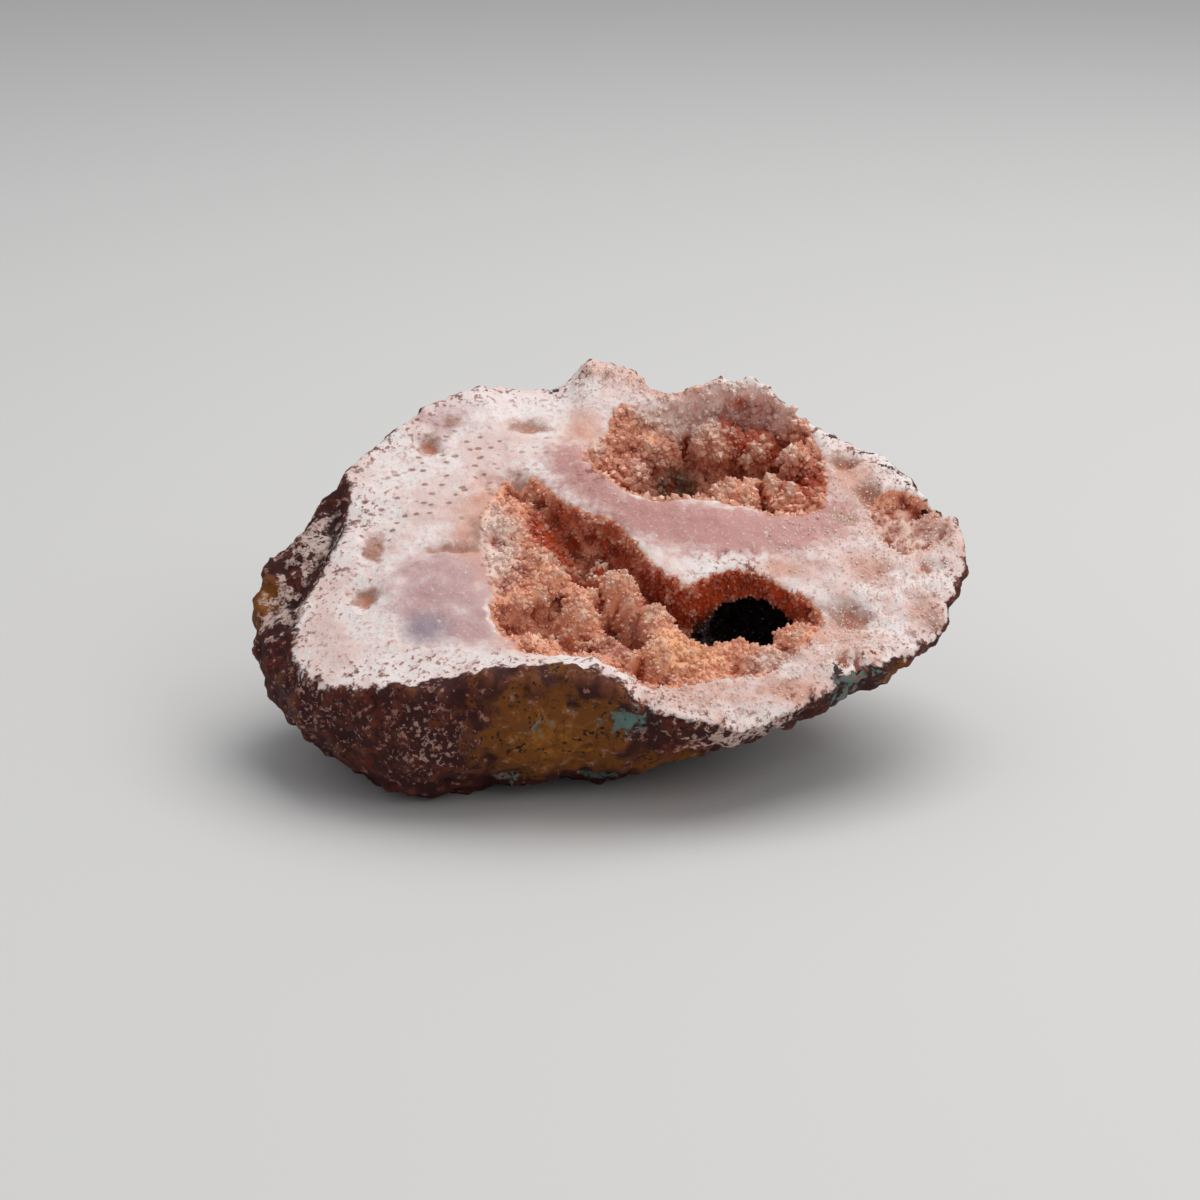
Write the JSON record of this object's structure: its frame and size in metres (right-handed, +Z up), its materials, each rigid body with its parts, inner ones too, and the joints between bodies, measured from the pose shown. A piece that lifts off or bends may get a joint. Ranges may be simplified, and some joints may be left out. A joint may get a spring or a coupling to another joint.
{
  "type": "pink amethyst geode half",
  "caption": "Half of a broken pink amethyst geode: a weathered stone whose white-pink broken face opens into two pockets lined with small quartz crystals.",
  "frame": {"origin": "middle of the stone's outline seen from above, at the height of the surface it rests on", "axes": "+X along the stone from its rind-covered end to its crusty end, +Y from the low front rim to the high back rim, +Z up"},
  "size_m": [0.105, 0.066, 0.0512],
  "materials": {
    "stone": "rough broken quartz with an iron-stained skin",
    "druse": "small clear quartz crystals over iron-stained walls"
  },
  "bodies": {
    "root": {"geode_half": "stone"}
  },
  "joints": []
}
